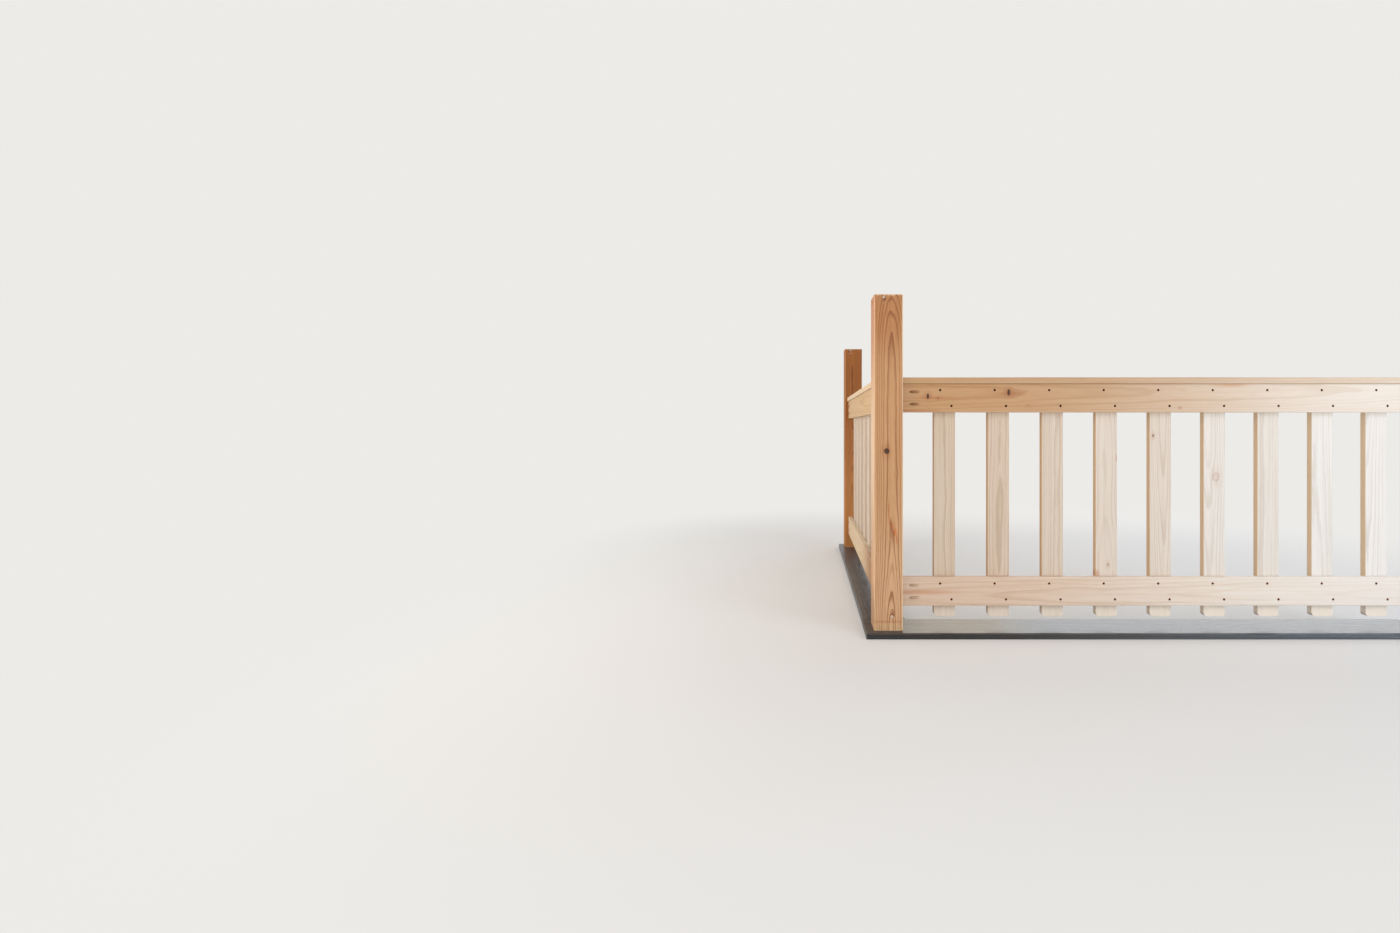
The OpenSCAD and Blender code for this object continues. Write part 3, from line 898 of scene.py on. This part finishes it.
for post in ("corner", "end"):
    low, high = (corner * 1000 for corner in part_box("post_" + post))
    middle = (low + high) / 2
    down = Vector((0, -math.sin(TOE_SLANT), math.cos(TOE_SLANT)))
    up = Vector((0, -math.sin(TOE_SLANT), -math.cos(TOE_SLANT)))
    side = Vector((-math.sin(TOE_SLANT), 0, -math.cos(TOE_SLANT)))
    seats = [
        (Vector((middle.x + TOE_FOOT[0], low.y + TOE_IN, low.z + TOE_FOOT[1])), down),
        (Vector((middle.x + TOE_TOP[0], low.y + TOE_IN, high.z - TOE_TOP[1])), up),
        (Vector((low.x + TOE_IN, middle.y + TOE_SIDE[0], high.z - TOE_SIDE[1])), side),
    ]
    seat_heads(f"toe_screws_{post}", toe_head, seats)
for head in (slat_head, pocket_head, toe_head):
    bpy.data.objects.remove(head)

# %% [markdown]
# ## Floor, background and light
#
# The floor is one plain sheet that turns into the background with distance, so no edge
# of it shows. How far a point lies outside the rail's own box, in metres, says how much
# of the background it takes.

# %% Floor
BACKGROUND = "ecebe8"
FLOOR_SIZE = 80
FLOOR_FADES = (0.1, 1.7)
FLOOR_LIFT = 0.16

bpy.ops.mesh.primitive_plane_add(size=FLOOR_SIZE)
floor = bpy.context.object
floor.name = "floor"
floor_material, tree = new_material("pale floor")
coordinates = add(tree, "ShaderNodeTexCoord")
foot_middle = (cad_low + cad_high) / 2
foot_half = (cad_high - cad_low) / 2
offset = add(tree, "ShaderNodeVectorMath", {0: coordinates.outputs["Object"], 1: foot_middle},
             operation="SUBTRACT")
outward = add(tree, "ShaderNodeVectorMath", {0: offset}, operation="ABSOLUTE")
outside = add(tree, "ShaderNodeVectorMath", {0: outward, 1: foot_half}, operation="SUBTRACT")
beyond = add(tree, "ShaderNodeVectorMath", {0: outside, 1: (0, 0, 0)}, operation="MAXIMUM")
distance = add(tree, "ShaderNodeVectorMath", {0: beyond}, operation="LENGTH")
far = add(tree, "ShaderNodeMapRange", {"Value": distance.outputs["Value"], "From Min": FLOOR_FADES[0],
                                       "From Max": FLOOR_FADES[1]}, interpolation_type="SMOOTHSTEP")
ray = add(tree, "ShaderNodeLightPath")
lift = add(tree, "ShaderNodeMath", {0: ray.outputs["Is Camera Ray"], 1: FLOOR_LIFT}, operation="MULTIPLY")
lit_floor = add(tree, "ShaderNodeBsdfPrincipled", {"Base Color": linear("d5d6d7"), "Roughness": 0.8})
lifted = add(tree, "ShaderNodeEmission", {"Color": linear(BACKGROUND), "Strength": lift})
near_floor = add(tree, "ShaderNodeAddShader", {0: lit_floor, 1: lifted})
far_floor = add(tree, "ShaderNodeEmission", {"Color": linear(BACKGROUND)})
add(tree, "ShaderNodeOutputMaterial",
    {"Surface": add(tree, "ShaderNodeMixShader", {0: far, 1: near_floor, 2: far_floor})})
floor.data.materials.append(floor_material)
print("floor:", FLOOR_SIZE, "m wide")

# %% [markdown]
# The camera and mirrored rays see the plain background, and an even, dimmer sky fills the
# shadows. A cool softbox lights the rail from the right, a low wide one from the front
# and a warm one from the left. The two behind the rail light the boards' backs, and the
# satin curb mirrors them towards the camera.

# %% Sky and lights
SKY_STRENGTH = 0.58

world = bpy.context.scene.world or bpy.data.worlds.new("studio")
bpy.context.scene.world = world
world.use_nodes = True
tree = world.node_tree
tree.nodes.clear()
ray = add(tree, "ShaderNodeLightPath")
seen = add(tree, "ShaderNodeMath", {0: ray.outputs["Is Camera Ray"], 1: ray.outputs["Is Glossy Ray"]},
           operation="MAXIMUM")
seen = add(tree, "ShaderNodeMath", {0: seen, 1: ray.outputs["Is Transmission Ray"]}, operation="MAXIMUM")
ambient = add(tree, "ShaderNodeBackground", {"Color": linear("f6f6f7"), "Strength": SKY_STRENGTH})
backdrop = add(tree, "ShaderNodeBackground", {"Color": linear(BACKGROUND), "Strength": 1})
add(tree, "ShaderNodeOutputWorld",
    {"Surface": add(tree, "ShaderNodeMixShader", {0: seen, 1: ambient, 2: backdrop})})


def softbox(name, place, aim, size, watts, colour):
    """Adds a softbox of a width and height in metres, turned to the point that it lights."""
    bpy.ops.object.light_add(type="AREA", location=place)
    lamp = bpy.context.object
    lamp.name = name
    lamp.data.shape = "RECTANGLE"
    lamp.data.size, lamp.data.size_y = size
    lamp.data.energy = watts
    lamp.data.color = linear(colour)[:3]
    lamp.rotation_euler = (Vector(aim) - Vector(place)).to_track_quat("-Z", "Y").to_euler()
    lamp.visible_camera = False


softbox("key", (3.4, -2.5, 2.2), (1.2, 0.1, 0.5), (1.9, 1.9), 42, "f3f6ff")
softbox("low front", (1.3, -3.0, 0.3), (1.1, 0.0, 0.1), (3.0, 0.45), 24, "fffaf2")
softbox("fill", (-2.9, -0.6, 1.5), (0.1, 0.5, 0.5), (2.2, 1.8), 60, "ffe8cd")
softbox("back left", (1.1, 3.6, 1.3), (1.1, 0.0, 0.9), (1.0, 1.8), 9.5, "ffecd0")
softbox("back right", (3.55, 3.6, 1.3), (3.55, 0.0, 0.9), (3.9, 1.8), 41, "f0f5fb")
